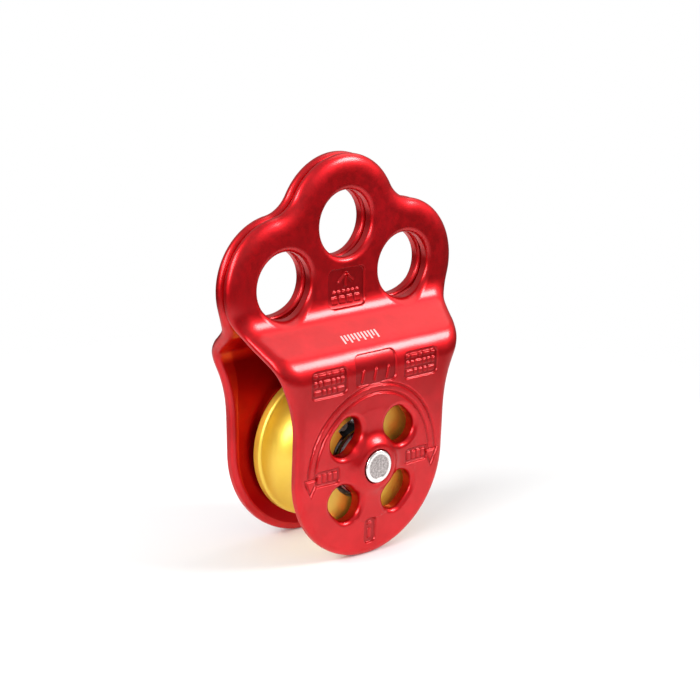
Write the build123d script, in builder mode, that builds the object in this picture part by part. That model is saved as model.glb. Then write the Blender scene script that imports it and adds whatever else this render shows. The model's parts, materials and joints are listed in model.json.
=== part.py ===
"""Three-eye swing-cheek rope pulley.

Two forged side plates hang from three carabiner eyes and spread apart around a grooved sheave.
The sheave turns on two sealed ball bearings, and the rear plate swings about the same axle.

Frame: millimetres, +Z up, +Y towards the rear plate, origin at the centre of the top eye,
midway between the plates.
"""

import os
from math import asin, cos, pi, radians, sin, tan

from build123d import *

# ---------------------------------------------------------------- driving dimensions
# side plate outline
EYE_RADIUS = 9.5
TOP_LOBE_RADIUS = 19.6
SIDE_LOBE_RADIUS = 19.3
SIDE_EYE_X = 21.9
SIDE_EYE_Z = -14.8
VALLEY_RADIUS = 10.0
NECK_RADIUS = 15.0
FLANK_SLOPE = 66.9
FLANK_DROP = 4.5
WAIST_Z = -49.2
WAIST_RADIUS = 35.0
AXLE_Z = -67.3
HUB_LOBE_RADIUS = 27.4

# side plate section; the part beside the sheave leans in towards the foot, and each bend's
# radius is the one on its hollow side
PLATE_THICKNESS = 4.0
HALF_GAP = 0.2
PLATE_OUTER_Y = 16.6
PLATE_LEAN = 2.0
UPPER_BEND_Z = -24.6
LOWER_BEND_Z = -34.1
UPPER_BEND_RADIUS = 9.0
LOWER_BEND_RADIUS = 6.5
RIM_ROUNDING = 1.8
EYE_ROUNDING = 1.6

# hub boss and lightening holes
BOSS_HEIGHT = 2.3
BOSS_FLAT_RADIUS = 6.6
BOSS_FOOT_RADIUS = 16.5
BOSS_FOOT_DEPTH = 0.4
HUB_PAD_RADIUS = 9.2
WINDOW_INNER_RADIUS = 9.3
WINDOW_OUTER_RADIUS = 18.6
WINDOW_HALF_ANGLE = 25.0
WINDOW_CORNER_RADIUS = 4.5
WINDOW_COUNT = 4

# axle
SHANK_RADIUS = 5.0
JOURNAL_RADIUS = 4.2
AXLE_HEAD_RADIUS = 4.7
AXLE_HEAD_LENGTH = 2.0
AXLE_HEAD_PROUD = 0.4
AXLE_DISH_RADIUS = 3.6
AXLE_DISH_DEPTH = 0.35
COUNTERBORE_RADIUS = 5.0
RUNNING_CLEARANCE = 0.05
END_FLOAT = 0.1

# sheave
SHEAVE_RADIUS = 21.6
SHEAVE_HALF_WIDTH = 11.2
GROOVE_HALF_WIDTH = 7.8
TREAD_RADIUS = 14.5
POCKET_RADIUS = 13.2
POCKET_HALF_ANGLE = 40.0
LIP_ROUNDING = 1.0

# ball bearings, two of them, each side of a shoulder in the sheave
BEARING_OUTER_RADIUS = 11.0
BEARING_WIDTH = 6.0
SHOULDER_WIDTH = 2.0
SHOULDER_RADIUS = 9.8
INNER_RING_RADIUS = 6.7
OUTER_RING_RADIUS = 9.4
PITCH_RADIUS = 8.05
BALL_RADIUS = 1.6
BALL_CLEARANCE = 0.1
BALL_COUNT = 9
CAGE_THICKNESS = 1.0
CAGE_WIDTH = 4.4
SEAL_THICKNESS = 0.4
SEAL_INSET = 0.1
SEAL_GAP = 0.15

# spacers, washers and retaining rings
SPACER_RADIUS = 6.4
FLANGE_RADIUS = 9.7
FLANGE_THICKNESS = 0.8
THRUST_WASHER_RADIUS = 8.6
THRUST_WASHER_THICKNESS = 0.6
RING_GROOVE_WIDTH = 1.0
RING_GROOVE_DEPTH = 0.6
RING_PLAY = 0.05
RING_BAND = 1.7
RING_GAP_ANGLE = 26.0
RING_LUG_RADIUS = 1.5
RING_LUG_DISTANCE = 10.6
RING_LUG_HOLE_RADIUS = 0.6

# relief on the outer faces
RELIEF_DEPTH = 0.35
PANEL_ROUNDING = 1.2
PANEL_MARGIN = 1.6
MARK_FILL = 0.6
BAND_INNER_RADIUS = 21.4
BAND_OUTER_RADIUS = 23.8
ARROW_HALF_WIDTH = 2.2
ARROW_LENGTH = 4.6
# each panel: centre (x, z), width, height, rows of dashes, dashes in a row
PANELS = [
    ((0, -18.2), 13.4, 11.2, 2, 3),
    ((0, -38.8), 15.0, 9.0, 1, 3),
    ((17.0, -40.2), 12.8, 7.8, 2, 5),
    ((-17.0, -40.2), 12.8, 7.8, 2, 5),
    ((17.0, -67.7), 6.4, 4.2, 1, 4),
    ((-17.0, -67.7), 6.4, 4.2, 1, 4),
    ((0, -87.3), 4.2, 7.4, 1, 1),
]

# ---------------------------------------------------------------- places worked out from them
PLATE_INNER_Y = PLATE_OUTER_Y - PLATE_THICKNESS
EYE_PLATE_OUTER_Y = HALF_GAP + PLATE_THICKNESS
BOSS_Y = PLATE_OUTER_Y + BOSS_HEIGHT
AXLE_END_Y = BOSS_Y + AXLE_HEAD_PROUD
HEAD_START_Y = AXLE_END_Y - AXLE_HEAD_LENGTH
COUNTERBORE_FLOOR_Y = HEAD_START_Y - END_FLOAT
SHOULDER_Y = PLATE_INNER_Y - END_FLOAT
BEARING_CENTRE_Y = (SHOULDER_WIDTH + BEARING_WIDTH) / 2
BEARING_OUTER_Y = SHOULDER_WIDTH / 2 + BEARING_WIDTH
WASHER_Y = SHOULDER_Y - THRUST_WASHER_THICKNESS
FLANGE_Y = WASHER_Y - FLANGE_THICKNESS

AXLE_CENTRE = (0, 0, AXLE_Z)
AXLE_AXIS = Axis(AXLE_CENTRE, (0, 1, 0))
HUB_FACE = Plane(origin=AXLE_CENTRE, x_dir=(1, 0, 0), z_dir=(0, -1, 0))
HUB_SECTION = Plane(origin=AXLE_CENTRE, x_dir=(1, 0, 0), z_dir=(0, 0, 1))
EYE_CENTRES = [(0, 0), (SIDE_EYE_X, SIDE_EYE_Z), (-SIDE_EYE_X, SIDE_EYE_Z)]
BIG = 60.0
TOUCH = 0.001

os.makedirs("parts", exist_ok=True)


def finish(piece, name):
    """Label one finished sub-part and write its STEP file."""
    piece.label = name
    export_step(piece, f"parts/{name}.step")
    return piece


def ring(inner_radius, outer_radius, low_y, high_y):
    """A plain ring about the axle, between two Y positions."""
    with BuildPart() as plain_ring:
        with BuildSketch(HUB_FACE.offset(-high_y)):
            Circle(outer_radius)
            Circle(inner_radius, mode=Mode.SUBTRACT)
        extrude(amount=high_y - low_y)
    return plain_ring.part


def disc(radius, low_y, high_y):
    """A solid disc about the axle, between two Y positions."""
    with BuildPart() as plain_disc:
        with BuildSketch(HUB_FACE.offset(-high_y)):
            Circle(radius)
        extrude(amount=high_y - low_y)
    return plain_disc.part


# ---------------------------------------------------------------- side plates
def plate_outline():
    """The plan shape: three eye lobes, flanks that narrow to a waist, and a round hub end."""
    flank_top_z = SIDE_EYE_Z - FLANK_DROP
    flank_top_x = HUB_LOBE_RADIUS + (flank_top_z - WAIST_Z) / tan(radians(FLANK_SLOPE))
    right_side = [
        (HUB_LOBE_RADIUS, AXLE_Z),
        (HUB_LOBE_RADIUS, WAIST_Z),
        (flank_top_x, flank_top_z),
        (SIDE_EYE_X, SIDE_EYE_Z),
    ]
    left_side = [(-x, z) for x, z in reversed(right_side)]
    with BuildSketch(Plane.XZ.offset(BIG)) as outline:
        with BuildLine():
            Polyline(*right_side, (0, 0), *left_side, close=True)
        make_face()
        with Locations((0, AXLE_Z)):
            Circle(HUB_LOBE_RADIUS)
        Circle(TOP_LOBE_RADIUS)
        with Locations((SIDE_EYE_X, SIDE_EYE_Z), (-SIDE_EYE_X, SIDE_EYE_Z)):
            Circle(SIDE_LOBE_RADIUS)
        fillet([v for v in outline.vertices() if abs(v.Y - WAIST_Z) < TOUCH], radius=WAIST_RADIUS)
        fillet([v for v in outline.vertices() if v.Y > 0], radius=VALLEY_RADIUS)
        lobe_low_z = SIDE_EYE_Z - SIDE_LOBE_RADIUS
        necks = [v for v in outline.vertices() if lobe_low_z < v.Y < SIDE_EYE_Z]
        fillet(necks, radius=NECK_RADIUS)
    return outline.sketch


def sunk_path(path, depth):
    """The corners of a path after it has moved a given depth to its left."""
    corners = [Vector(*corner) for corner in path]
    sides = [(end - start).normalized().rotate(Axis.Z, 90) for start, end in zip(corners, corners[1:])]
    moved = [corners[0] + sides[0] * depth]
    for corner, before, after in zip(corners[1:-1], sides, sides[1:]):
        moved.append(corner + (before + after) * (depth / (1 + before.dot(after))))
    moved.append(corners[-1] + sides[-1] * depth)
    return moved


def bent_face(depth):
    """The outer face's line in side view, moved a given depth into the metal."""
    lean = tan(radians(PLATE_LEAN))
    foot_z = AXLE_Z - BIG
    path = [
        (-EYE_PLATE_OUTER_Y, BIG),
        (-EYE_PLATE_OUTER_Y, UPPER_BEND_Z),
        (-PLATE_OUTER_Y - lean * (LOWER_BEND_Z - AXLE_Z), LOWER_BEND_Z),
        (-PLATE_OUTER_Y - lean * (foot_z - AXLE_Z), foot_z),
    ]
    bend_radii = [UPPER_BEND_RADIUS + depth, LOWER_BEND_RADIUS + PLATE_THICKNESS - depth]
    return FilletPolyline(*sunk_path(path, depth), radius=bend_radii)


def bent_section(near_depth, far_depth):
    """Side view of a bent slab between two depths: flat at the eyes, a ramp, flat at the sheave."""
    with BuildSketch(Plane.YZ.offset(BIG)) as section:
        with BuildLine():
            outer = bent_face(near_depth)
            inner = bent_face(far_depth)
            Line(outer @ 0, inner @ 0)
            Line(outer @ 1, inner @ 1)
        make_face()
    return section.sketch


def boss_profile():
    """Half section of the hub boss, from the axle's line out to where it melts into the plate."""
    root_y = -PLATE_INNER_Y - PLATE_THICKNESS / 2
    with BuildSketch(HUB_SECTION) as profile:
        with BuildLine():
            top = Line((0, -BOSS_Y), (BOSS_FLAT_RADIUS, -BOSS_Y))
            slope = Spline(
                top @ 1,
                (BOSS_FOOT_RADIUS, BOSS_FOOT_DEPTH - PLATE_OUTER_Y),
                tangents=[(1, 0.25), (1, 0.05)],
            )
            Polyline(slope @ 1, (BOSS_FOOT_RADIUS, root_y), (0, root_y), top @ 0)
        make_face()
    return profile.sketch


def window_outline():
    """One lightening hole on the hub face: a ring sector with rounded corners."""
    half_height = BIG * tan(radians(WINDOW_HALF_ANGLE))
    with BuildSketch(HUB_FACE.offset(BIG)) as window:
        Circle(WINDOW_OUTER_RADIUS)
        Circle(WINDOW_INNER_RADIUS, mode=Mode.SUBTRACT)
        with BuildLine():
            Polyline((0, 0), (BIG, half_height), (BIG, -half_height), close=True)
        make_face(mode=Mode.INTERSECT)
        fillet(window.vertices(), radius=WINDOW_CORNER_RADIUS)
    return window.sketch


def mark_rows(width, height, rows, columns):
    """Rows of raised dashes that fill a panel, in place of any wording."""
    pitch_x = width / columns
    pitch_z = height / rows
    with GridLocations(pitch_x, pitch_z, columns, rows):
        Rectangle(pitch_x * MARK_FILL, pitch_z * MARK_FILL, mode=Mode.SUBTRACT)


def arrow_band():
    """The rope's path: a band over the sheave that ends in an arrowhead each side."""
    middle_radius = (BAND_INNER_RADIUS + BAND_OUTER_RADIUS) / 2
    with BuildSketch(HUB_FACE.offset(BIG)) as band:
        Circle(BAND_OUTER_RADIUS)
        Circle(BAND_INNER_RADIUS, mode=Mode.SUBTRACT)
        with Locations((0, -BIG / 2)):
            Rectangle(2 * BIG, BIG, mode=Mode.SUBTRACT)
        for side in (-1, 1):
            with BuildLine():
                Polyline(
                    (side * (middle_radius - ARROW_HALF_WIDTH), 0),
                    (side * (middle_radius + ARROW_HALF_WIDTH), 0),
                    (side * middle_radius, -ARROW_LENGTH),
                    close=True,
                )
            make_face()
    return band.sketch


def panel(centre, width, height, rows, columns):
    """A rounded sunk panel with raised dashes in it, placed on the outer face."""
    face = Plane(origin=(centre[0], -BIG, centre[1]), x_dir=(1, 0, 0), z_dir=(0, -1, 0))
    with BuildSketch(face) as sunk_panel:
        RectangleRounded(width, height, PANEL_ROUNDING)
        mark_rows(width - PANEL_MARGIN, height - PANEL_MARGIN, rows, columns)
    return sunk_panel.sketch


with BuildPart() as relief:
    skin = extrude(bent_section(-1, RELIEF_DEPTH), amount=2 * BIG, dir=(-1, 0, 0), mode=Mode.PRIVATE)
    extrude(arrow_band(), amount=2 * BIG, dir=(0, 1, 0))
    for centre, width, height, rows, columns in PANELS:
        extrude(panel(centre, width, height, rows, columns), amount=2 * BIG, dir=(0, 1, 0))
    add(skin, mode=Mode.INTERSECT)

with BuildPart() as plate_blank:
    extrude(bent_section(0, PLATE_THICKNESS), amount=2 * BIG, dir=(-1, 0, 0))
    extrude(plate_outline(), amount=2 * BIG, dir=(0, 1, 0), mode=Mode.INTERSECT)
    cross_lines = plate_blank.edges().filter_by(Axis.X) + plate_blank.edges().filter_by(Axis.Y)
    fillet([e for e in plate_blank.edges() if e not in cross_lines], radius=RIM_ROUNDING)
    revolve(boss_profile(), axis=AXLE_AXIS)
    add(disc(HUB_PAD_RADIUS, -PLATE_INNER_Y - PLATE_THICKNESS / 2, -PLATE_INNER_Y))
    add(disc(HUB_PAD_RADIUS, -PLATE_INNER_Y, 0), mode=Mode.SUBTRACT)
    with Locations(*[(x, -EYE_PLATE_OUTER_Y, z) for x, z in EYE_CENTRES]):
        Cylinder(EYE_RADIUS, BIG, rotation=(90, 0, 0), mode=Mode.SUBTRACT)
    eye_rims = [
        e for e in plate_blank.edges().filter_by(GeomType.CIRCLE)
        if abs(e.radius - EYE_RADIUS) < TOUCH
    ]
    fillet(eye_rims, radius=EYE_ROUNDING)
    for index in range(WINDOW_COUNT):
        turn = 45 + index * 360 / WINDOW_COUNT
        window = window_outline().rotate(AXLE_AXIS, turn)
        extrude(window, amount=2 * BIG, dir=(0, 1, 0), mode=Mode.SUBTRACT)
    add(relief.part, mode=Mode.SUBTRACT)


def bored_plate(bore_radius):
    """The side plate with its axle bore and the counterbore for the axle's head."""
    with BuildPart() as bored:
        add(plate_blank.part)
        with BuildSketch(HUB_FACE.offset(BIG)):
            Circle(bore_radius)
        extrude(amount=-2 * BIG, mode=Mode.SUBTRACT)
        with BuildSketch(HUB_FACE.offset(COUNTERBORE_FLOOR_Y)):
            Circle(COUNTERBORE_RADIUS)
        extrude(amount=BIG, mode=Mode.SUBTRACT)
    return bored.part


with BuildPart() as front_side_plate:
    add(bored_plate(JOURNAL_RADIUS))
finish(front_side_plate.part, "front_side_plate")

with BuildPart() as rear_side_plate:
    add(bored_plate(JOURNAL_RADIUS + RUNNING_CLEARANCE))
    mirror(about=Plane.XZ, mode=Mode.REPLACE)
finish(rear_side_plate.part, "rear_side_plate")


# ---------------------------------------------------------------- axle
with BuildPart() as axle:
    with BuildSketch(HUB_SECTION):
        with BuildLine():
            Polyline(
                (0, 0),
                (SHANK_RADIUS, 0),
                (SHANK_RADIUS, SHOULDER_Y),
                (JOURNAL_RADIUS, SHOULDER_Y),
                (JOURNAL_RADIUS, HEAD_START_Y),
                (AXLE_HEAD_RADIUS, HEAD_START_Y),
                (AXLE_HEAD_RADIUS, AXLE_END_Y),
                (AXLE_DISH_RADIUS, AXLE_END_Y),
                (AXLE_DISH_RADIUS, AXLE_END_Y - AXLE_DISH_DEPTH),
                (0, AXLE_END_Y - AXLE_DISH_DEPTH),
                close=True,
            )
        make_face()
    revolve(axis=AXLE_AXIS)
    head_rims = [
        e for e in axle.edges().filter_by(GeomType.CIRCLE)
        if abs(e.radius - AXLE_HEAD_RADIUS) < TOUCH and abs(e.arc_center.Y - AXLE_END_Y) < TOUCH
    ]
    fillet(head_rims, radius=AXLE_DISH_DEPTH)
    mirror(about=Plane.XZ)
finish(axle.part, "axle")


# ---------------------------------------------------------------- sheave
def lug_pocket(low_y, high_y):
    """The room beside the bore, at the top, that the retaining ring's lugs need."""
    half_width = BIG * tan(radians(POCKET_HALF_ANGLE))
    with BuildPart() as pocket:
        with BuildSketch(HUB_FACE.offset(-high_y)):
            Circle(POCKET_RADIUS)
            with BuildLine():
                Polyline((0, 0), (half_width, BIG), (-half_width, BIG), close=True)
            make_face(mode=Mode.INTERSECT)
        extrude(amount=high_y - low_y)
    return pocket.part


with BuildPart() as sheave:
    with BuildSketch(HUB_SECTION):
        with BuildLine():
            lip = Polyline(
                (0, SHEAVE_HALF_WIDTH),
                (SHEAVE_RADIUS, SHEAVE_HALF_WIDTH),
                (SHEAVE_RADIUS, GROOVE_HALF_WIDTH),
            )
            groove = ThreePointArc(
                lip @ 1, (TREAD_RADIUS, 0), (SHEAVE_RADIUS, -GROOVE_HALF_WIDTH)
            )
            Polyline(
                groove @ 1,
                (SHEAVE_RADIUS, -SHEAVE_HALF_WIDTH),
                (0, -SHEAVE_HALF_WIDTH),
                (0, SHEAVE_HALF_WIDTH),
            )
        make_face()
    revolve(axis=AXLE_AXIS)
    lip_rims = [
        e for e in sheave.edges().filter_by(GeomType.CIRCLE)
        if abs(e.radius - SHEAVE_RADIUS) < TOUCH
    ]
    fillet(lip_rims, radius=LIP_ROUNDING)
    add(disc(SHOULDER_RADIUS, -SHEAVE_HALF_WIDTH, SHEAVE_HALF_WIDTH), mode=Mode.SUBTRACT)
    for side in (-1, 1):
        bearing_seat = sorted((side * SHOULDER_WIDTH / 2, side * SHEAVE_HALF_WIDTH))
        ring_groove = sorted((side * BEARING_OUTER_Y, side * (BEARING_OUTER_Y + RING_GROOVE_WIDTH)))
        add(disc(BEARING_OUTER_RADIUS, *bearing_seat), mode=Mode.SUBTRACT)
        add(lug_pocket(*sorted((side * BEARING_OUTER_Y, side * SHEAVE_HALF_WIDTH))), mode=Mode.SUBTRACT)
        groove_radius = BEARING_OUTER_RADIUS + RING_GROOVE_DEPTH
        add(disc(groove_radius, *ring_groove), mode=Mode.SUBTRACT)
finish(sheave.part, "sheave")


# ---------------------------------------------------------------- ball bearings
def raced_ring(inner_radius, outer_radius, centre_y):
    """A bearing ring with the balls' groove turned in it."""
    half_width = BEARING_WIDTH / 2
    with BuildPart() as raced:
        add(ring(inner_radius, outer_radius, centre_y - half_width, centre_y + half_width))
        with BuildSketch(HUB_SECTION):
            with Locations((PITCH_RADIUS, centre_y)):
                Circle(BALL_RADIUS + BALL_CLEARANCE)
        revolve(axis=AXLE_AXIS, mode=Mode.SUBTRACT)
    return raced.part


def ball_places(centre_y):
    """Where the balls sit on the pitch circle, each with its own Z pointing away from the axle."""
    places = []
    for index in range(BALL_COUNT):
        turn = index * 2 * pi / BALL_COUNT
        outward = Vector(cos(turn), 0, sin(turn))
        centre = Vector(0, centre_y, AXLE_Z) + outward * PITCH_RADIUS
        places.append(Plane(origin=centre, z_dir=outward))
    return places


def ball_set(centre_y):
    """The bearing's balls, separate solids in one node."""
    with BuildPart() as balls:
        with Locations(*ball_places(centre_y)):
            Sphere(BALL_RADIUS)
    return balls.part


def ball_cage(centre_y):
    """A thin ring with a round pocket for each ball."""
    low_radius = PITCH_RADIUS - CAGE_THICKNESS / 2
    high_radius = PITCH_RADIUS + CAGE_THICKNESS / 2
    with BuildPart() as cage:
        add(ring(low_radius, high_radius, centre_y - CAGE_WIDTH / 2, centre_y + CAGE_WIDTH / 2))
        with Locations(*ball_places(centre_y)):
            Cylinder(BALL_RADIUS + BALL_CLEARANCE, 2 * BALL_RADIUS, mode=Mode.SUBTRACT)
    return cage.part


def make_bearing(place, side):
    """One sealed ball bearing, six nodes; side is -1 at the front and 1 at the rear."""
    centre_y = side * BEARING_CENTRE_Y
    seal_centre = BEARING_WIDTH / 2 - SEAL_INSET - SEAL_THICKNESS / 2
    finish(
        raced_ring(SHANK_RADIUS, INNER_RING_RADIUS, centre_y),
        f"{place}_bearing_inner_ring",
    )
    finish(
        raced_ring(OUTER_RING_RADIUS, BEARING_OUTER_RADIUS, centre_y),
        f"{place}_bearing_outer_ring",
    )
    finish(ball_set(centre_y), f"{place}_bearing_balls")
    finish(ball_cage(centre_y), f"{place}_bearing_cage")
    for face, direction in (("outer", side), ("inner", -side)):
        seal_y = centre_y + direction * seal_centre
        finish(
            ring(
                INNER_RING_RADIUS + SEAL_GAP,
                OUTER_RING_RADIUS,
                seal_y - SEAL_THICKNESS / 2,
                seal_y + SEAL_THICKNESS / 2,
            ),
            f"{place}_bearing_{face}_seal",
        )


# ---------------------------------------------------------------- what holds the bearings
def retaining_ring(low_y):
    """A spring ring for the sheave's bore: a band with a gap at the top and two eared ends."""
    band_radius = BEARING_OUTER_RADIUS + RING_GROOVE_DEPTH - RING_PLAY
    thickness = RING_GROOVE_WIDTH - 2 * RING_PLAY
    half_gap = BIG * tan(radians(RING_GAP_ANGLE / 2))
    lug_turn = radians(90 - RING_GAP_ANGLE / 2) - asin(RING_LUG_RADIUS / band_radius)
    lug_x = RING_LUG_DISTANCE * cos(lug_turn)
    lug_z = RING_LUG_DISTANCE * sin(lug_turn)
    with BuildPart() as snap_ring:
        with BuildSketch(HUB_FACE.offset(-low_y)):
            Circle(band_radius)
            Circle(band_radius - RING_BAND, mode=Mode.SUBTRACT)
            with BuildLine():
                Polyline((0, 0), (half_gap, BIG), (-half_gap, BIG), close=True)
            make_face(mode=Mode.SUBTRACT)
            with Locations((lug_x, lug_z), (-lug_x, lug_z)):
                Circle(RING_LUG_RADIUS)
                Circle(RING_LUG_HOLE_RADIUS, mode=Mode.SUBTRACT)
        extrude(amount=-thickness)
    return snap_ring.part


def spacer_bush(side):
    """A flanged bush that holds a bearing's inner ring away from the side plate."""
    flange = sorted((side * FLANGE_Y, side * WASHER_Y))
    barrel = sorted((side * BEARING_OUTER_Y, side * FLANGE_Y))
    with BuildPart() as bush:
        add(ring(SHANK_RADIUS, SPACER_RADIUS, *barrel))
        add(ring(SHANK_RADIUS, FLANGE_RADIUS, *flange))
    return bush.part


with BuildPart() as bearing_spacer:
    add(ring(SHANK_RADIUS, SPACER_RADIUS, -SHOULDER_WIDTH / 2, SHOULDER_WIDTH / 2))
finish(bearing_spacer.part, "bearing_spacer")

for place, side in (("front", -1), ("rear", 1)):
    make_bearing(place, side)
    finish(spacer_bush(side), f"{place}_spacer_bush")
    washer = sorted((side * WASHER_Y, side * SHOULDER_Y))
    finish(ring(SHANK_RADIUS, THRUST_WASHER_RADIUS, *washer), f"{place}_thrust_washer")
    ring_start = min(
        side * (BEARING_OUTER_Y + RING_PLAY),
        side * (BEARING_OUTER_Y + RING_GROOVE_WIDTH - RING_PLAY),
    )
    finish(retaining_ring(ring_start), f"{place}_retaining_ring")
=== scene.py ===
"""Looks for the three-eye swing-cheek rope pulley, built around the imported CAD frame."""

import json
import math

import bpy
import numpy as np
from mathutils import Matrix, Vector, geometry


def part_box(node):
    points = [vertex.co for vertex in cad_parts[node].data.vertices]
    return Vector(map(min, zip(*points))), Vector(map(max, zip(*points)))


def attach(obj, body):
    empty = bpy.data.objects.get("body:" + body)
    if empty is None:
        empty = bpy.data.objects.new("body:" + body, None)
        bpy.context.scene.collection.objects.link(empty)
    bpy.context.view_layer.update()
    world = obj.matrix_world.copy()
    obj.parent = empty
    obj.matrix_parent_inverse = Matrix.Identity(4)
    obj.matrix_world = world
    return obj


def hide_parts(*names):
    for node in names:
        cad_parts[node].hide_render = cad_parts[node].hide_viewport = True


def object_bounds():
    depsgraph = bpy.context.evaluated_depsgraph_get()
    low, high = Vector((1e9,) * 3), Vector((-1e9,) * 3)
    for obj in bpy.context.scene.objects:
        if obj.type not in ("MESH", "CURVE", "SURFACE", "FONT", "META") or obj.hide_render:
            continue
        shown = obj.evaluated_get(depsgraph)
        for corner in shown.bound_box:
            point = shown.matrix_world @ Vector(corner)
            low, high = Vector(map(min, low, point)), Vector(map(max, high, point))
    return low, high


MM = 0.001

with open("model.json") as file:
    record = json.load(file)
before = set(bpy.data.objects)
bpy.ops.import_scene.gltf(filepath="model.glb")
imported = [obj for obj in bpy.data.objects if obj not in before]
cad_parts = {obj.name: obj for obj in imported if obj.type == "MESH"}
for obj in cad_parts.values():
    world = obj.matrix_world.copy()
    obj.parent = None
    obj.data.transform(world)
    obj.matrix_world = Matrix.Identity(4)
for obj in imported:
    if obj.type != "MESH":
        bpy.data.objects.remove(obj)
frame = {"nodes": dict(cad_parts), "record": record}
cad_low, cad_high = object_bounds()


# ---------------------------------------------------------------- node helpers
class Shader:
    """A node material with one Principled surface, and short calls for the nodes that feed it."""

    def __init__(self, name, **values):
        self.material = bpy.data.materials.new(name)
        self.material.use_nodes = True
        self.tree = self.material.node_tree
        self.surface = self.tree.nodes["Principled BSDF"]
        self.place = self.node("ShaderNodeTexCoord").outputs["Object"]
        for socket, value in values.items():
            self.surface.inputs[socket.replace("_", " ")].default_value = value

    def node(self, kind, **settings):
        """A new node with its settings."""
        made = self.tree.nodes.new(kind)
        for key, value in settings.items():
            setattr(made, key, value)
        return made

    def wire(self, node, **sources):
        """Feed a node's inputs, named or numbered as i0, i1, from sockets or with plain values."""
        for key, source in sources.items():
            socket = node.inputs[int(key[1:]) if key[1:].isdigit() else key.replace("_", " ")]
            if isinstance(source, bpy.types.NodeSocket):
                self.tree.links.new(source, socket)
            else:
                socket.default_value = source
        return node

    def math(self, operation, *values):
        """One math node's result."""
        made = self.node("ShaderNodeMath", operation=operation)
        self.wire(made, **{f"i{index}": value for index, value in enumerate(values)})
        return made.outputs[0]

    def split_place(self):
        """The x, y and z of each point on the object, in metres."""
        return self.wire(self.node("ShaderNodeSeparateXYZ"), Vector=self.place).outputs

    def noise(self, scale, detail=3.0):
        """Noise over the object, with scale in repeats per metre."""
        made = self.node("ShaderNodeTexNoise")
        self.wire(made, Vector=self.place, Scale=scale, Detail=detail)
        return made.outputs["Fac"]

    def spread(self, source, low, high, new_low, new_high):
        """A value moved smoothly from one span to another."""
        made = self.node("ShaderNodeMapRange", interpolation_type="SMOOTHSTEP")
        self.wire(made, i0=source, i1=low, i2=high, i3=new_low, i4=new_high)
        return made.outputs[0]

    def mix(self, share, first, second):
        """A colour between two colours."""
        made = self.node("ShaderNodeMix", data_type="RGBA")
        self.wire(made, i0=share, i6=first, i7=second)
        return made.outputs[2]

    def set(self, **sources):
        """Feed the Principled surface."""
        self.wire(self.surface, **sources)

    def inside(self, value, low, high):
        """1 where a value lies between two limits, else 0."""
        above = self.math("GREATER_THAN", value, low)
        return self.math("MULTIPLY", above, self.math("LESS_THAN", value, high))

    def tick_row(self, left, right, low, high, count):
        """1 inside a row of upright ticks on the front, every second one short; limits in metres."""
        x, y, z = self.split_place()
        place = self.math("DIVIDE", self.math("SUBTRACT", x, left), (right - left) / count)
        stroke = self.inside(self.math("FRACT", place), 0.25, 0.75)
        odd = self.math("GREATER_THAN", self.math("MODULO", place, 2.0), 1.0)
        foot = self.math("ADD", low, self.math("MULTIPLY", odd, (high - low) * SHORT_TICK_CUT))
        row = self.inside(z, foot, high)
        across = self.math("MULTIPLY", self.inside(x, left, right), self.math("LESS_THAN", y, 0.0))
        return self.math("MULTIPLY", stroke, self.math("MULTIPLY", row, across))

    def bump(self, height, distance, strength=1.0):
        """Surface relief from a height, with distance in metres."""
        made = self.node("ShaderNodeBump")
        self.wire(made, Height=height, Distance=distance, Strength=strength)
        self.set(Normal=made.outputs["Normal"])


# ---------------------------------------------------------------- materials
TICK_ROW_LEFT = -0.0087
TICK_ROW_RIGHT = 0.0048
TICK_ROW_LOW = -0.0312
TICK_ROW_HIGH = -0.0295
TICK_COUNT = 11
SHORT_TICK_CUT = 0.3
COAT_OUTSIDE = 0.68
COAT_INSIDE = 0.12
GRAINY_RADIUS = 0.0034
BRIGHT_RADIUS = 0.0037
# Painted shade: the dark red that the sunk panels and the plates' inner faces are mixed towards.
PAINTED_SHADE_RED = (0.20, 0.001, 0.003, 1)
PALE_ENGRAVING = (0.85, 0.62, 0.62, 1)
SHEAVE_Z = sum(corner.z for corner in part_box("sheave")) / 2


def axle_distance(shader):
    """Each point's distance from the axle's line, in metres."""
    x, _, z = shader.split_place()
    drop = shader.math("SUBTRACT", z, SHEAVE_Z)
    squares = shader.math("ADD", shader.math("POWER", x, 2.0), shader.math("POWER", drop, 2.0))
    return shader.math("SQRT", squares)


def red_anodised():
    """Glossy red anodising with painted shade in the sunk hollows and on the inner faces, a thinner coat
    inside, and pale ticks on the front ramp.
    """
    s = Shader("red_anodised", Metallic=1.0, Coat_Roughness=0.22, Coat_IOR=1.5)
    s.set(Specular_Tint=(1.0, 0.2, 0.2, 1))
    blotch = s.spread(s.noise(90.0, 3.0), 0.35, 0.7, 0.0, 1.0)
    red = s.mix(blotch, (0.56, 0.003, 0.007, 1), (0.68, 0.006, 0.013, 1))
    ticks = s.tick_row(TICK_ROW_LEFT, TICK_ROW_RIGHT, TICK_ROW_LOW, TICK_ROW_HIGH, TICK_COUNT)
    # Painted shade: the sunk panels' recesses are darkened towards a dark red.
    hollow = s.node("ShaderNodeAttribute", attribute_name="hollow").outputs["Fac"]
    red = s.mix(hollow, red, PAINTED_SHADE_RED)
    # Painted shade: the inner faces are darkened halfway towards the same dark red; their coat is also
    # thinner.
    inside = s.node("ShaderNodeAttribute", attribute_name="inside").outputs["Fac"]
    red = s.mix(s.math("MULTIPLY", inside, 0.5), red, PAINTED_SHADE_RED)
    s.set(Coat_Weight=s.spread(inside, 0.0, 1.0, COAT_OUTSIDE, COAT_INSIDE))
    s.set(Base_Color=s.mix(ticks, red, PALE_ENGRAVING))
    satin = s.spread(s.noise(600.0), 0.3, 0.7, 0.42, 0.5)
    s.set(Roughness=s.math("MAXIMUM", satin, s.math("MULTIPLY", ticks, 0.7)))
    ripple = s.math("ADD", s.noise(260.0, 2.0), s.math("MULTIPLY", s.noise(1400.0, 4.0), 0.25))
    s.bump(ripple, 0.00007)
    return s.material


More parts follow.
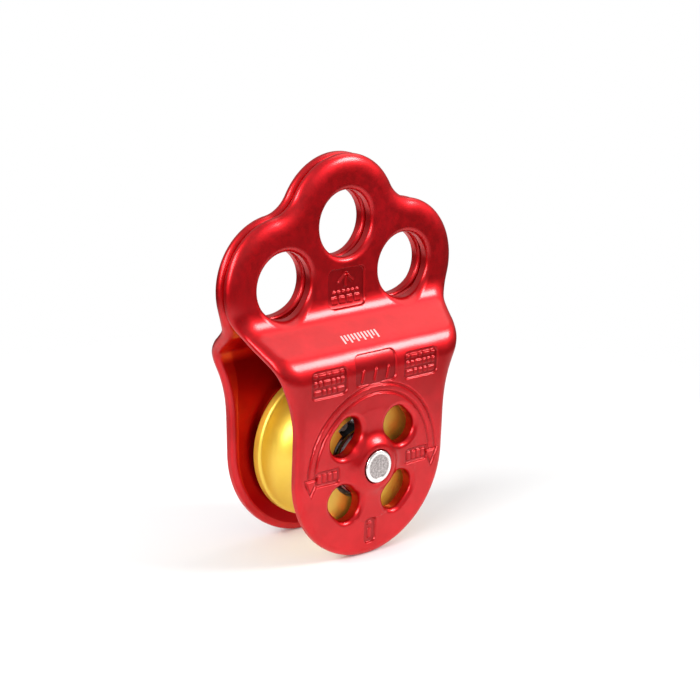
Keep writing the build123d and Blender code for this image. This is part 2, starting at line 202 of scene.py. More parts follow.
def gold_anodised():
    """Satin gold anodising with the lathe's fine turning marks round the axle."""
    s = Shader("gold_anodised", Metallic=0.72, Coat_Weight=0.5, Coat_Roughness=0.3, Coat_IOR=1.6)
    s.set(Base_Color=s.mix(s.noise(150.0), (0.82, 0.56, 0.05, 1), (0.88, 0.62, 0.07, 1)))
    s.set(Roughness=s.spread(s.noise(900.0), 0.3, 0.7, 0.4, 0.5))
    turned = s.wire(s.node("ShaderNodeCombineXYZ"), X=axle_distance(s), Y=s.split_place()[1])
    marks = s.wire(s.node("ShaderNodeTexNoise"), Vector=turned.outputs[0], Scale=6000.0, Detail=2.0)
    s.bump(marks.outputs["Fac"], 0.000012)
    return s.material


def plain_metal(name, colour, roughness, metallic=1.0):
    """Bare metal with faint patches and fine grinding marks."""
    s = Shader(name, Metallic=metallic)
    darker = tuple(channel * 0.8 for channel in colour[:3]) + (1,)
    s.set(Base_Color=s.mix(s.noise(400.0), colour, darker))
    s.set(Roughness=s.spread(s.noise(1200.0), 0.3, 0.7, roughness, roughness + 0.1))
    s.bump(s.noise(3000.0), 0.00001)
    return s.material


def axle_steel():
    """Turned steel: a bright rim round a duller, grainy middle on each end."""
    s = Shader("axle_steel", Metallic=1.0)
    rim = s.spread(axle_distance(s), GRAINY_RADIUS, BRIGHT_RADIUS, 0.0, 1.0)
    grain = s.noise(1800.0, 4.0)
    middle = s.mix(s.spread(grain, 0.35, 0.65, 0.0, 1.0), (0.36, 0.32, 0.31, 1), (0.66, 0.61, 0.60, 1))
    s.set(Base_Color=s.mix(rim, middle, (0.9, 0.88, 0.86, 1)))
    s.set(Roughness=s.math("SUBTRACT", 0.5, s.math("MULTIPLY", rim, 0.25)))
    s.bump(grain, 0.00006, 0.6)
    return s.material


def plain_plastic(name, colour, roughness):
    """Rubber or plastic with faint patches and a slightly uneven skin."""
    s = Shader(name)
    darker = tuple(channel * 0.7 for channel in colour[:3]) + (1,)
    s.set(Base_Color=s.mix(s.noise(500.0), colour, darker))
    s.set(Roughness=s.spread(s.noise(1500.0), 0.3, 0.7, roughness, roughness + 0.15))
    s.bump(s.noise(3000.0), 0.00001)
    return s.material


MATERIALS = {
    "red_plate": red_anodised(),
    "gold_sheave": gold_anodised(),
    "axle_steel": axle_steel(),
    "bearing_steel": plain_metal("bearing_steel", (0.6, 0.6, 0.6, 1), 0.18),
    "ball_steel": plain_metal("ball_steel", (0.7, 0.7, 0.7, 1), 0.08),
    "ring_steel": plain_metal("ring_steel", (0.95, 0.95, 0.95, 1), 0.45, 0.35),
    "seal_rubber": plain_plastic("seal_rubber", (0.02, 0.02, 0.022, 1), 0.5),
    "cage_plastic": plain_plastic("cage_plastic", (0.5, 0.42, 0.25, 1), 0.45),
    "washer_plastic": plain_plastic("washer_plastic", (0.3, 0.3, 0.3, 1), 0.4),
}

for subpart in frame["record"]["subparts"]:
    mesh = frame["nodes"][subpart["node"]].data
    mesh.materials.clear()
    mesh.materials.append(MATERIALS[subpart["material_slot"]])

# ---------------------------------------------------------------- side plate dimensions, in millimetres
# The same shape as the CAD side plates, with softer edges, finer relief and a forging's slight waviness.
EYES = [mount["pos_m"] for mount in frame["record"]["mounts"] if mount["kind"] == "bore"]
EYE_PLACES = [(x / MM, z / MM) for x, _, z in EYES]
EYE_RADIUS = 9.5
TOP_LOBE_RADIUS = 19.6
SIDE_LOBE_RADIUS = 19.3
VALLEY_RADIUS = 10.0
NECK_RADIUS = 15.0
FLANK_SLOPE = 66.9
WAIST_Z = -49.2
WAIST_RADIUS = 35.0
HUB_LOBE_RADIUS = 27.4

THICKNESS = 4.0
EYE_PLATE_Y = 4.2
HUB_PLATE_Y = 16.6
LEAN = 2.0
UPPER_BEND_Z = -24.6
LOWER_BEND_Z = -34.1
UPPER_BEND_RADIUS = 9.0
LOWER_BEND_RADIUS = 6.5
REACH_Z = 60.0

# Each edge's rounding is a quarter ellipse: how far it reaches in over the face, then how deep it goes.
HUB_RIM = (2.2, 1.6)
FLANK_RIM = (5.1, 2.2)
RIM_CHANGE_Z = (-56.0, -40.0)
INNER_RIM = (2.0, 1.4)
EYE_RIM = (1.9, 1.5)
INNER_EYE_RIM = (1.2, 1.2)
WINDOW_RIM = (1.8, 1.5)
INNER_WINDOW_RIM = (0.4, 0.4)
BORE_RIM = (0.3, 0.3)

BOSS_HEIGHT = 2.3
BOSS_FLAT_RADIUS = 6.6
BOSS_FOOT_RADIUS = 16.5
BOSS_FOOT_DEPTH = 0.4
BOSS_BLEND = 0.5
BOSS_RUNOUT = 14.0
BOSS_EDGE = 0.06
BOSS_HOLLOW = 3.8
BOSS_HOLLOW_SHARE = 0.88
PAD_RADIUS = 9.0
PAD_STEP = 0.3
WINDOW_INNER_RADIUS = 9.3
WINDOW_OUTER_RADIUS = 18.6
WINDOW_HALF_ANGLE = 25.0
WINDOW_CORNER = 4.5
COUNTERBORE_RADIUS = 5.0
COUNTERBORE_FLOOR_Y = 17.2
JOURNAL_RADIUS = 4.25
HUB_RING_RADIUS = 6.0

RELIEF_DEPTH = 0.6
RELIEF_STEP = 0.4
MARK_HEIGHT = 0.85 * RELIEF_DEPTH
LINE_DEPTH = 0.8 * RELIEF_DEPTH
GAP_SHARE = 0.45
DASH_CORNER = 0.25
# How strongly painted shade darkens the sunk panels.
HOLLOW_SHADE = 0.4
WAVE_HEIGHT = 0.02
FACE_DROP = 0.03
BEYOND_MARKS = 9.0

# mesh density
FINE_REACH = 0.5
FINE_PITCH = 0.22
COARSE_PITCH = 0.62
LOOP_PITCH = 0.5
SMALL_LOOP_PITCH = 0.4
EDGE_CLEARANCE = 0.55
ROUND_STEPS = 11
STRIP_STEPS = 4
BEND_STEPS = 40
CHUNK = 4000

AXLE_Z = SHEAVE_Z / MM
AXLE = np.array((0.0, AXLE_Z))


# ---------------------------------------------------------------- plan outlines
def arc(centre, radius, start, end):
    """Closely spaced points along an arc, either way round, with angles in degrees."""
    turn = np.radians(np.linspace(start, end, max(3, int(abs(end - start) * 2))))
    return np.column_stack((centre[0] + radius * np.cos(turn), centre[1] + radius * np.sin(turn)))


def bearing_from(centre, point):
    """The angle in degrees at which a point is seen from a centre."""
    return math.degrees(math.atan2(point[1] - centre[1], point[0] - centre[0]))


def closed_loop(points, pitch):
    """A closed line as evenly spaced points, with the direction out of the metal at each.
    The metal is to the left of the line's own direction."""
    ends = np.vstack((points, points[:1]))
    along = np.concatenate(([0.0], np.cumsum(np.hypot(*np.diff(ends, axis=0).T))))
    count = int(round(along[-1] / pitch))
    places = np.arange(count) * along[-1] / count
    spaced = np.column_stack([np.interp(places, along, ends[:, axis]) for axis in (0, 1)])
    tangent = np.roll(spaced, -1, axis=0) - np.roll(spaced, 1, axis=0)
    tangent /= np.linalg.norm(tangent, axis=1)[:, None]
    return spaced, np.column_stack((tangent[:, 1], -tangent[:, 0]))


def plate_outline():
    """Three lobes round the eyes, flanks that narrow to a waist, and a round hub end."""
    slope = math.radians(FLANK_SLOPE)
    along = np.array((math.cos(slope), math.sin(slope)))
    outward = np.array((along[1], -along[0]))
    top, eye = (np.array(place) for place in (EYE_PLACES[0], max(EYE_PLACES)))
    waist_reach = WAIST_RADIUS * math.tan((math.pi / 2 - slope) / 2)
    waist = (HUB_LOBE_RADIUS + WAIST_RADIUS, WAIST_Z - waist_reach)
    start = np.array((HUB_LOBE_RADIUS, WAIST_Z)) + outward * NECK_RADIUS - eye
    reach = SIDE_LOBE_RADIUS + NECK_RADIUS
    rise = -start @ along - math.sqrt((start @ along) ** 2 - start @ start + reach ** 2)
    neck = eye + start + along * rise
    apart = np.linalg.norm(eye - top)
    toward = (eye - top) / apart
    across = np.array((-toward[1], toward[0]))
    from_top = TOP_LOBE_RADIUS + VALLEY_RADIUS
    from_eye = SIDE_LOBE_RADIUS + VALLEY_RADIUS
    run = (from_top ** 2 - from_eye ** 2 + apart ** 2) / (2 * apart)
    valley = top + toward * run + across * math.sqrt(from_top ** 2 - run ** 2)
    right = np.vstack((
        arc(AXLE, HUB_LOBE_RADIUS, -90, 0),
        arc(waist, WAIST_RADIUS, 180, 90 + FLANK_SLOPE),
        arc(neck, NECK_RADIUS, 90 + FLANK_SLOPE, bearing_from(neck, eye)),
        arc(eye, SIDE_LOBE_RADIUS, bearing_from(eye, neck), bearing_from(eye, valley)),
        arc(valley, VALLEY_RADIUS, bearing_from(valley, eye), bearing_from(valley, top)),
        arc(top, TOP_LOBE_RADIUS, bearing_from(top, valley), 90),
    ))
    left = right[-2:0:-1] * (-1, 1)
    return np.vstack((right, left))


def window_outline(turn):
    """One lightening hole: a ring sector whose corners are rounded nearly into an oval."""
    half = WINDOW_HALF_ANGLE
    low, high = WINDOW_INNER_RADIUS + WINDOW_CORNER, WINDOW_OUTER_RADIUS - WINDOW_CORNER
    low_turn, high_turn = (half - math.degrees(math.asin(WINDOW_CORNER / radius)) for radius in (low, high))

    def corner(reach, side_turn, start, end):
        centre = arc(AXLE, reach, turn + side_turn, turn + side_turn)[0]
        return arc(centre, WINDOW_CORNER, turn + start, turn + end)

    ahead = np.vstack((
        arc(AXLE, WINDOW_OUTER_RADIUS, turn - high_turn, turn + high_turn),
        corner(high, high_turn, high_turn, half + 90),
        corner(low, low_turn, half + 90, 180 + low_turn),
        arc(AXLE, WINDOW_INNER_RADIUS, turn + low_turn, turn - low_turn),
        corner(low, -low_turn, 180 - low_turn, 270 - half),
        corner(high, -high_turn, 270 - half, 360 - high_turn),
    ))
    return ahead[::-1]


# ---------------------------------------------------------------- heights of the two faces
def bend_line(depth):
    """The plate's side view at a depth below the outer face, as z and y lists that rise in z."""
    lean = math.tan(math.radians(LEAN))
    corners = [np.array(corner) for corner in (
        (EYE_PLATE_Y, REACH_Z),
        (EYE_PLATE_Y, UPPER_BEND_Z),
        (HUB_PLATE_Y + lean * (LOWER_BEND_Z - AXLE_Z), LOWER_BEND_Z),
        (HUB_PLATE_Y - lean * REACH_Z, AXLE_Z - REACH_Z),
    )]
    steps = [after - before for before, after in zip(corners, corners[1:])]
    runs = [step / np.linalg.norm(step) for step in steps]
    inward = [np.array((run[1], -run[0])) for run in runs]
    moved = [corners[0] + inward[0] * depth]
    for corner, one, other in zip(corners[1:-1], inward, inward[1:]):
        moved.append(corner + (one + other) * depth / (1 + one @ other))
    moved.append(corners[-1] + inward[-1] * depth)
    radii = (UPPER_BEND_RADIUS + depth, LOWER_BEND_RADIUS + THICKNESS - depth)
    line = [moved[0]]
    for corner, before, after, radius in zip(moved[1:-1], runs, runs[1:], radii):
        opening = math.acos(-before @ after)
        reach = radius / math.tan(opening / 2)
        middle = (after - before) / np.linalg.norm(after - before)
        centre = corner + middle * radius / math.sin(opening / 2)
        first, last = corner - before * reach - centre, corner + after * reach - centre
        swing = math.pi - opening
        for turn in np.linspace(0, swing, BEND_STEPS):
            line.append(centre + (math.sin(swing - turn) * first + math.sin(turn) * last) / math.sin(swing))
    line.append(moved[-1])
    line = np.array(line)[::-1]
    return line[:, 1], line[:, 0]


OUTER_LINE = bend_line(0.0)
INNER_LINE = bend_line(THICKNESS)


def smooth_step(value, low, high):
    """0 below a span and 1 above it, with a smooth rise between."""
    share = np.clip((value - low) / (high - low), 0, 1)
    return share * share * (3 - 2 * share)


def from_axle(x, z):
    """How far each point of the plan lies from the axle's centre."""
    return np.hypot(x, z - AXLE_Z)


def boss_height(x, z):
    """The hub boss: flat round the axle, then a hollow slope that melts into the plate."""
    share = (from_axle(x, z) - BOSS_FLAT_RADIUS) / (BOSS_FOOT_RADIUS - BOSS_FLAT_RADIUS)
    curve = np.clip((share + np.hypot(share, BOSS_EDGE)) / 2, 0, 1)
    fall = BOSS_HEIGHT + BOSS_FOOT_DEPTH
    hollow = 1 - (1 - curve) ** BOSS_HOLLOW
    height = HUB_PLATE_Y + BOSS_HEIGHT - fall * (BOSS_HOLLOW_SHARE * hollow + (1 - BOSS_HOLLOW_SHARE) * curve)
    return height - np.maximum(share - 1, 0) * BOSS_RUNOUT


def plain_outer(x, z):
    """The outer face before relief, as the distance from the middle plane."""
    plate = np.interp(z, *OUTER_LINE)
    boss = boss_height(x, z)
    whole = (plate + boss + np.sqrt((plate - boss) ** 2 + BOSS_BLEND ** 2)) / 2
    wave = np.sin(0.31 * x + 0.8) * np.sin(0.27 * z + 0.3) + 0.6 * np.sin(0.55 * x - 0.4 * z)
    return whole + WAVE_HEIGHT * wave - FACE_DROP


def inner_face(x, z):
    """The inner face, with the flat pad round the axle that the thrust washer bears on."""
    plate = np.interp(z, *INNER_LINE)
    pad = 1 - smooth_step(from_axle(x, z), PAD_RADIUS - PAD_STEP, PAD_RADIUS + PAD_STEP)
    return plate + (HUB_PLATE_Y - THICKNESS - plate) * pad


# ---------------------------------------------------------------- relief
def box_distance(x, z, centre, width, height, corner):
    """How far outside a rounded rectangle each point lies; negative inside."""
    over_x = np.abs(x - centre[0]) - width / 2 + corner
    over_z = np.abs(z - centre[1]) - height / 2 + corner
    outside = np.hypot(np.maximum(over_x, 0), np.maximum(over_z, 0))
    return outside + np.minimum(np.maximum(over_x, over_z), 0) - corner


def bar_distance(x, z, start, end, half_width):
    """How far outside a round-ended bar each point lies."""
    run_x, run_z = end[0] - start[0], end[1] - start[1]
    share = ((x - start[0]) * run_x + (z - start[1]) * run_z) / (run_x ** 2 + run_z ** 2)
    share = np.clip(share, 0, 1)
    return np.hypot(x - start[0] - share * run_x, z - start[1] - share * run_z) - half_width


def dash_row(left, right, z, height, lengths):
    """A row of raised dashes of varied lengths, in place of a line of wording."""
    unit = (right - left) / (sum(lengths) + GAP_SHARE * (len(lengths) - 1))
    dashes = []
    x = left
    for length in lengths:
        dashes.append(("box", (x + length * unit / 2, z), length * unit, height, DASH_CORNER))
        x += (length + GAP_SHARE) * unit
    return dashes


LOAD_ARROW = [
    ("bar", (0.0, -17.6), (0.0, -14.2), 0.35),
    ("bar", (-2.6, -16.4), (0.0, -14.2), 0.35),
    ("bar", (0.0, -14.2), (2.6, -16.4), 0.35),
]
TICKS = [("bar", (x - 0.3, -42.2), (x + 0.3, -39.2), 0.42) for x in (-4.6, 0.0, 4.6)]


def wording_panel(x):
    """A sunk panel on the bend beside the middle one, with three rows of dashes."""
    left, right = x - 5.4, x + 5.4
    marks = dash_row(left, right, -37.6, 0.9, (1, 2, 1, 2, 1))
    marks += dash_row(left, right, -39.9, 1.5, (1, 1, 2, 1, 1, 1))
    marks += dash_row(left, right, -42.4, 1.5, (2, 1, 1, 1, 2))
    return ("box", (x, -40.2), 12.8, 7.8, 1.6), marks


def strength_panel(x):
    """A sunk panel beside the axle, with one row of dashes."""
    z = AXLE_Z - 0.4
    return ("box", (x, z), 8.6, 4.4, 0.8), dash_row(x - 3.5, x + 3.5, z, 2.5, (1, 1, 1, 1))


def eye_panel():
    """The sunk panel between the eyes, with an arrow towards the top eye over two rows of dashes."""
    marks = LOAD_ARROW + dash_row(-4.8, 4.8, -19.4, 0.9, (1, 1, 1, 1, 1, 1))
    marks += dash_row(-5.2, 5.2, -21.6, 1.9, (1, 1, 1, 1))
    return ("box", (0.0, -18.2), 13.4, 11.2, 1.8), marks


def foot_panel():
    """The small upright panel at the foot, with a bar under a dash."""
    marks = [("bar", (0.0, -89.2), (0.0, -87.2), 0.55), ("bar", (-0.5, -85.2), (0.5, -85.2), 0.4)]
    return ("box", (0.0, -87.3), 4.2, 7.6, 1.4), marks


PANELS = [
    eye_panel(),
    (("box", (0.0, -38.8), 15.0, 9.0, 1.8), TICKS),
    wording_panel(17.0),
    wording_panel(-17.0),
    strength_panel(16.7),
    strength_panel(-16.7),
    foot_panel(),
]
BAND_INNER_RADIUS = 21.4
BAND_OUTER_RADIUS = 23.8
BAND_LINE = 0.3
ARROW_HALF_WIDTH = 2.2
ARROW_LENGTH = 4.4


def mark_distance(x, z, mark):
    """How far outside a panel or a mark each point lies."""
    kind, *sizes = mark
    return (box_distance if kind == "box" else bar_distance)(x, z, *sizes)


def arrow_band_distance(x, z):
    """How far outside the rope's path each point lies: a half ring that ends in two arrowheads."""
    middle = (BAND_INNER_RADIUS + BAND_OUTER_RADIUS) / 2
    ring = np.abs(from_axle(x, z) - middle) - (BAND_OUTER_RADIUS - BAND_INNER_RADIUS) / 2
    band = np.maximum(ring, AXLE_Z - z)
    run = np.hypot(ARROW_HALF_WIDTH, ARROW_LENGTH)
    below = z - AXLE_Z
    side = np.abs(np.abs(x) - middle)
    slant = (side * ARROW_LENGTH - (below + ARROW_LENGTH) * ARROW_HALF_WIDTH) / run
    arrow = np.maximum(slant, below)
    return np.minimum(band, arrow)


def relief(x, z):
    """Relief added to the outer face, and how near each point is to one of its edges."""
    nearest = np.full(x.shape, BEYOND_MARKS)
    height = np.zeros(x.shape)
    half = RELIEF_STEP / 2
    for outline, marks in PANELS:
        outside = mark_distance(x, z, outline)
        height -= RELIEF_DEPTH * (1 - smooth_step(outside, -half, half))
        nearest = np.minimum(nearest, np.abs(outside))
        for mark in marks:
            outside = mark_distance(x, z, mark)
            height += MARK_HEIGHT * (1 - smooth_step(outside, -half, half))
            nearest = np.minimum(nearest, np.abs(outside))
    line = np.abs(arrow_band_distance(x, z))
    height -= LINE_DEPTH * (1 - smooth_step(line, BAND_LINE - half, BAND_LINE + half))
    return height, np.minimum(nearest, line)


def outer_face(x, z):
    """The outer face with its relief, as the distance from the middle plane."""
    return plain_outer(x, z) + relief(x, z)[0]


# ---------------------------------------------------------------- the plate's mesh
def rounded_rows(reach, depth, start=None):
    """Rows over an edge: how far each lies inside the plan line, and how far below the face.
    They begin with a flat strip if they start further in than the rounding reaches."""
    turns = np.linspace(0, math.pi / 2, ROUND_STEPS)
    rows = [(reach * (1 - math.sin(turn)), depth * (1 - math.cos(turn))) for turn in turns]
    if start is not None:
        rows = [(start + (reach - start) * step / STRIP_STEPS, 0.0) for step in range(STRIP_STEPS)] + rows
    return rows


def face_normals(height, x, z, outward):
    """Unit normals of a face from its height, outward -1 for the outer face and 1 for the inner."""
    step = 0.05
    slope_x = (height(x + step, z) - height(x - step, z)) / (2 * step)
    slope_z = (height(x, z + step) - height(x, z - step)) / (2 * step)
    normals = np.column_stack((slope_x * outward, np.full(x.shape, float(outward)), slope_z * outward))
    return normals / np.linalg.norm(normals, axis=1)[:, None]


def beside_borders(points, borders):
    """How far each point lies from the nearest border, and whether it is on the metal's side of it."""
    edge = np.vstack([line for line, _ in borders])
    outward = np.vstack([out for _, out in borders])
    gaps = np.zeros(len(points))
    in_metal = np.zeros(len(points), bool)
    for start in range(0, len(points), CHUNK):
        part = slice(start, start + CHUNK)
        squares = ((points[part, None, :] - edge[None, :, :]) ** 2).sum(axis=2)
        nearest = squares.argmin(axis=1)
        gaps[part] = np.sqrt(squares.min(axis=1))
        in_metal[part] = ((points[part] - edge[nearest]) * outward[nearest]).sum(axis=1) < 0
    return gaps, in_metal


def interior_points(borders):
    """Points that fill the plate between its borders, close together only near the relief."""
    edge = np.vstack([line for line, _ in borders])
    low, high = edge.min(axis=0), edge.max(axis=0)
    found = []
    for pitch, fine in ((COARSE_PITCH, False), (FINE_PITCH, True)):
        rows = np.arange(low[1], high[1], pitch * math.sqrt(3) / 2)
        x, z = np.meshgrid(np.arange(low[0], high[0], pitch), rows)
        x[1::2] += pitch / 2
        points = np.column_stack((x.ravel(), z.ravel()))
        near_relief = relief(*points.T)[1] < FINE_REACH
        points = points[near_relief == fine]
        gaps, in_metal = beside_borders(points, borders)
        found.append(points[in_metal & (gaps > EDGE_CLEARANCE * pitch)])
    return np.vstack(found)


def flat_mesh(borders):
    """The plan as points and triangles, and each border point's number among the points."""
    plan = np.vstack([line for line, _ in borders] + [interior_points(borders)])
    edges = []
    for line, _ in borders:
        start, count = len(edges), len(line)
        edges += [(start + i, start + (i + 1) % count) for i in range(count)]
    result = geometry.delaunay_2d_cdt([Vector(point) for point in plan], edges, [], 1, 1e-6)
    points = np.array([tuple(point) for point in result[0]])
    triangles = np.array([tuple(face) for face in result[2]])
    _, in_metal = beside_borders(points[triangles].mean(axis=1), borders)
    triangles = triangles[in_metal]
    first, second, third = (points[triangles[:, corner]] for corner in range(3))
    turned = np.cross(second - first, third - first) < 0
    triangles[turned] = triangles[turned][:, ::-1]
    number_of = {original: number for number, group in enumerate(result[3]) for original in group}
    return points, triangles, number_of


class PlateMesh:
    """The growing points, normals and faces of a side plate, in millimetres."""

    def __init__(self):
        self.points = []
        self.normals = []
        self.faces = []
        self.count = 0

    def add(self, points, normals):
        """Add points, and return their numbers. A normal of zero leaves it to Blender."""
        numbers = self.count + np.arange(len(points))
        self.points.append(points)
        self.normals.append(normals)
        self.count += len(points)
        return numbers

    def join(self, rows):
        """Faces between numbered rows of one closed loop, from the outer face to the inner one."""
        for upper, lower in zip(rows, rows[1:]):
            for i in range(len(upper)):
                j = (i + 1) % len(upper)
                self.faces.append((lower[i], lower[j], upper[j], upper[i]))


def plate_loops():
    """Each edge of the plate: points, the way out of the metal, and its outer and inner rounding."""
    rim, rim_out = closed_loop(plate_outline(), LOOP_PITCH)
    flank_share = smooth_step(rim[:, 1], *RIM_CHANGE_Z)
    rim_rounding = [hub + (flank - hub) * flank_share for hub, flank in zip(HUB_RIM, FLANK_RIM)]
    loops = [(rim, rim_out, *rim_rounding, INNER_RIM)]
    for place in EYE_PLACES:
        eye = closed_loop(arc(place, EYE_RADIUS, 360, 0)[:-1], LOOP_PITCH)
        loops.append((*eye, *EYE_RIM, INNER_EYE_RIM))
    for turn in (45, 135, 225, 315):
        window = closed_loop(window_outline(turn), SMALL_LOOP_PITCH)
        loops.append((*window, *WINDOW_RIM, INNER_WINDOW_RIM))
    return loops


def edge_row(line, out, inset, drop, face, way):
    """One row round an edge, inset over the plan and dropped below a face; way is 1 outside, -1 inside."""
    x, z = (line - out * np.reshape(inset, (-1, 1))).T
    spread = (plain_outer(x, z) - inner_face(x, z)) / THICKNESS
    return np.column_stack((x, way * drop * spread - face(x, z), z))


def edge_rows(line, out, reach, depth, inner):
    """Rows of points round one edge, from the outer face to the inner one, and their normals."""
    rows = [edge_row(line, out, inset, drop, plain_outer, 1) for inset, drop in rounded_rows(reach, depth)]
    for inset, drop in rounded_rows(*inner, start=reach)[::-1]:
        rows.append(edge_row(line, out, inset, drop, inner_face, -1))
    grid = np.array(rows)
    down = np.gradient(grid, axis=0)
    along = np.roll(grid, -1, axis=1) - np.roll(grid, 1, axis=1)
    facing = np.cross(down, along)
    facing /= np.linalg.norm(facing, axis=2)[:, :, None]
    outward = np.column_stack((out[:, 0], np.zeros(len(out)), out[:, 1]))
    if (facing[len(grid) // 2] * outward).sum() < 0:
        facing = -facing
    return grid, facing


def bore_profile():
    """The axle hole from the boss down to the pad, as radii and distances from the middle plane."""
    top = HUB_PLATE_Y + BOSS_HEIGHT
    foot = HUB_PLATE_Y - THICKNESS
    profile = [(COUNTERBORE_RADIUS + inset, top - drop) for inset, drop in rounded_rows(*BORE_RIM)]
    profile += [(COUNTERBORE_RADIUS, COUNTERBORE_FLOOR_Y), (JOURNAL_RADIUS, COUNTERBORE_FLOOR_Y)]
    profile += [(JOURNAL_RADIUS + inset, foot + drop) for inset, drop in rounded_rows(*BORE_RIM)[::-1]]
    return profile


def plate_mesh_data():
    """Points, faces and normals of the front side plate, and the painted shade values that its material
    reads.
    """
    loops = plate_loops()
    hub_ring, hub_out = closed_loop(arc(AXLE, HUB_RING_RADIUS, 360, 0)[:-1], SMALL_LOOP_PITCH)
    borders = [(line - out * np.reshape(reach, (-1, 1)), out) for line, out, reach, *_ in loops]
    borders.append((hub_ring, hub_out))
    flat, triangles, number_of = flat_mesh(borders)
    x, z = flat.T

    plate = PlateMesh()
    outer = plate.add(np.column_stack((x, -outer_face(x, z), z)), face_normals(outer_face, x, z, -1))
    inner = plate.add(np.column_stack((x, -inner_face(x, z), z)), face_normals(inner_face, x, z, 1))
    plate.faces += [tuple(face) for face in triangles]
    plate.faces += [tuple(inner[face[::-1]]) for face in triangles]

    start = 0
    for line, out, *rounding in loops:
        border = [number_of[start + i] for i in range(len(line))]
        grid, facing = edge_rows(line, out, *rounding)
        rows = [plate.add(points, normals) for points, normals in zip(grid[1:-1], facing[1:-1])]
        plate.join([outer[border], *rows, inner[border]])
        start += len(line)

    border = [number_of[start + i] for i in range(len(hub_ring))]
    spokes = (hub_ring - AXLE) / HUB_RING_RADIUS
    rows = []
    for radius, y in bore_profile():
        ring = AXLE + spokes * radius
        points = np.column_stack((ring[:, 0], np.full(len(ring), -y), ring[:, 1]))
        rows.append(plate.add(points, np.zeros(points.shape)))
    plate.join([outer[border], *rows, inner[border]])

    shades = {"hollow": np.zeros(plate.count), "inside": np.zeros(plate.count)}
    # Painted shade: the sunk relief is marked to be darkened, and the inner face to be darker with a thinner
    # coat.
    shades["hollow"][outer] = HOLLOW_SHADE * np.clip(-relief(x, z)[0] / RELIEF_DEPTH, 0, 1)
    shades["inside"][inner] = 1.0
    return np.vstack(plate.points) * MM, plate.faces, np.vstack(plate.normals), shades


def side_plate(name, node, body, mirrored):
    """One forged side plate, standing for its CAD node; the rear one is the front one's mirror image."""
    vertices, faces, normals, shades = PLATE_DATA
    if mirrored:
        vertices = vertices * (1, -1, 1)
        normals = normals * (1, -1, 1)
        faces = [face[::-1] for face in faces]
    mesh = bpy.data.meshes.new(name)
    mesh.from_pydata(vertices.tolist(), [], [[int(i) for i in face] for face in faces])
    mesh.validate()
    mesh.shade_smooth()
    mesh.normals_split_custom_set_from_vertices(normals.tolist())
    for shade, values in shades.items():
        mesh.attributes.new(shade, "FLOAT", "POINT").data.foreach_set("value", values.astype(np.float32))
    mesh.materials.append(MATERIALS["red_plate"])
    plate = bpy.data.objects.new(name, mesh)
    bpy.context.scene.collection.objects.link(plate)
    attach(plate, body)
    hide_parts(node)


PLATE_DATA = plate_mesh_data()
side_plate("front_forged_plate", "front_side_plate", "front_cheek", False)
side_plate("rear_forged_plate", "rear_side_plate", "rear_cheek", True)

# ---------------------------------------------------------------- camera
# Front left of the pulley and a little above it, with a long lens.
CAMERA_PLACE = Vector((-0.3506, -0.4064, 0.1133))
CAMERA_RIGHT = Vector((0.7551, -0.6554, 0.0153))
CAMERA_DOWN = Vector((-0.1660, -0.2137, -0.9627))
CAMERA_LENS = 100.62

camera = bpy.data.objects.new("camera", bpy.data.cameras.new("camera"))
bpy.context.scene.collection.objects.link(camera)
right = CAMERA_RIGHT.normalized()
back = right.cross(-CAMERA_DOWN).normalized()
up = back.cross(right)
camera.matrix_world = Matrix.Translation(CAMERA_PLACE) @ Matrix((right, up, back)).transposed().to_4x4()
camera.data.lens = CAMERA_LENS
camera.data.sensor_width = 36.0
camera.data.clip_start = 0.01
camera.data.clip_end = 20.0
bpy.context.scene.camera = camera

# ---------------------------------------------------------------- stage and light
FLOOR_RADIUS = 0.26
FLOOR_FADE_START = 0.12
FLOOR_SIDES = 96
DIM_BELOW = -0.2
BRIGHT_ABOVE = 0.45
ROOM_DIM = 0.14
ROOM_BRIGHT = 0.65


def floor_paper():
    """White paper that fades out towards the edge of the sheet."""
    s = Shader("floor_paper", Roughness=0.9)
    s.set(Base_Color=(0.8, 0.8, 0.8, 1), Emission_Color=(1, 1, 1, 1), Emission_Strength=0.05)
    length = s.wire(s.node("ShaderNodeVectorMath", operation="LENGTH"), i0=s.place)
    s.set(Alpha=s.spread(length.outputs["Value"], FLOOR_FADE_START, FLOOR_RADIUS, 1.0, 0.0))
    return s.material


def round_floor():
    """A round sheet of paper under the pulley."""
    mesh = bpy.data.meshes.new("floor")
    turns = np.linspace(0, 2 * math.pi, FLOOR_SIDES, endpoint=False)
    rim = [(FLOOR_RADIUS * math.cos(turn), FLOOR_RADIUS * math.sin(turn), cad_low.z) for turn in turns]
    mesh.from_pydata(rim, [], [list(range(FLOOR_SIDES))])
    mesh.materials.append(floor_paper())
    floor = bpy.data.objects.new("floor", mesh)
    bpy.context.scene.collection.objects.link(floor)


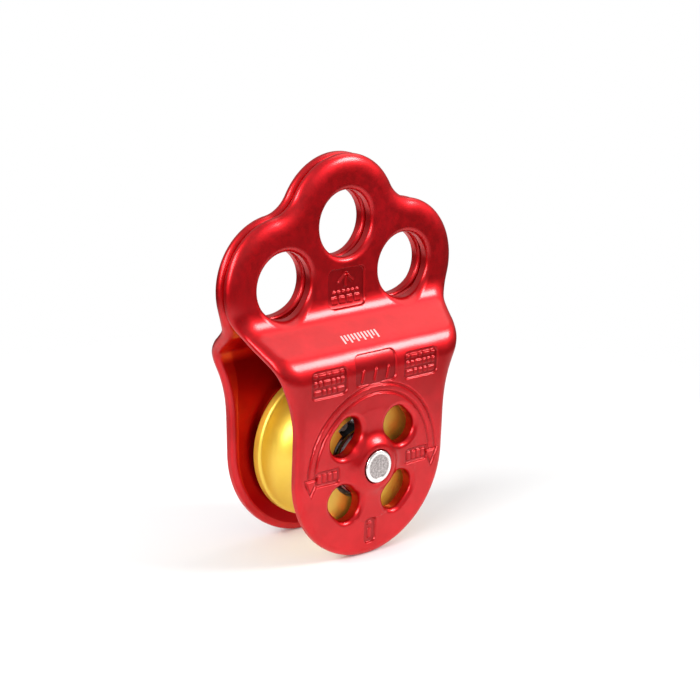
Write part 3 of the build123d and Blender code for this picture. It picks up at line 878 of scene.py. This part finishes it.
def studio_world():
    """White paper behind the object, in a studio whose walls are brighter towards the ceiling."""
    world = bpy.data.worlds.new("studio")
    bpy.context.scene.world = world
    world.use_nodes = True
    tree = world.node_tree
    backdrop = tree.nodes["Background"]
    backdrop.inputs["Color"].default_value = (1, 1, 1, 1)
    backdrop.inputs["Strength"].default_value = 1.0
    place = tree.nodes.new("ShaderNodeTexCoord")
    split = tree.nodes.new("ShaderNodeSeparateXYZ")
    level = tree.nodes.new("ShaderNodeMapRange")
    level.interpolation_type = "SMOOTHSTEP"
    for index, value in enumerate((DIM_BELOW, BRIGHT_ABOVE, ROOM_DIM, ROOM_BRIGHT)):
        level.inputs[index + 1].default_value = value
    room = tree.nodes.new("ShaderNodeBackground")
    path = tree.nodes.new("ShaderNodeLightPath")
    choice = tree.nodes.new("ShaderNodeMixShader")
    tree.links.new(place.outputs["Generated"], split.inputs[0])
    tree.links.new(split.outputs["Z"], level.inputs[0])
    tree.links.new(level.outputs[0], room.inputs["Strength"])
    tree.links.new(path.outputs["Is Camera Ray"], choice.inputs[0])
    tree.links.new(room.outputs[0], choice.inputs[1])
    tree.links.new(backdrop.outputs[0], choice.inputs[2])
    tree.links.new(choice.outputs[0], tree.nodes["World Output"].inputs["Surface"])


def softbox(name, direction, distance, width, height, power):
    """A soft oval light that faces the pulley, with sizes in metres and power in watts."""
    light = bpy.data.lights.new(name, "AREA")
    light.shape = "ELLIPSE"
    light.size = width
    light.size_y = height
    light.energy = power
    lamp = bpy.data.objects.new(name, light)
    bpy.context.scene.collection.objects.link(lamp)
    away = Vector(direction).normalized()
    lamp.location = (cad_low + cad_high) / 2 + away * distance
    lamp.rotation_euler = away.to_track_quat("Z", "Y").to_euler()


round_floor()
studio_world()
softbox("key", (0.635, -0.60, 0.49), 0.8, 0.3, 0.2, 4.0)
softbox("ceiling", (0.6, 0.0, 0.8), 0.9, 0.7, 0.7, 1.8)
softbox("left", (-0.9, -0.36, 0.4), 0.9, 0.45, 0.45, 4.5)
softbox("left_top", (-0.8, 0.05, 0.6), 0.9, 0.45, 0.35, 5.0)

bpy.context.scene.view_settings.view_transform = "Standard"
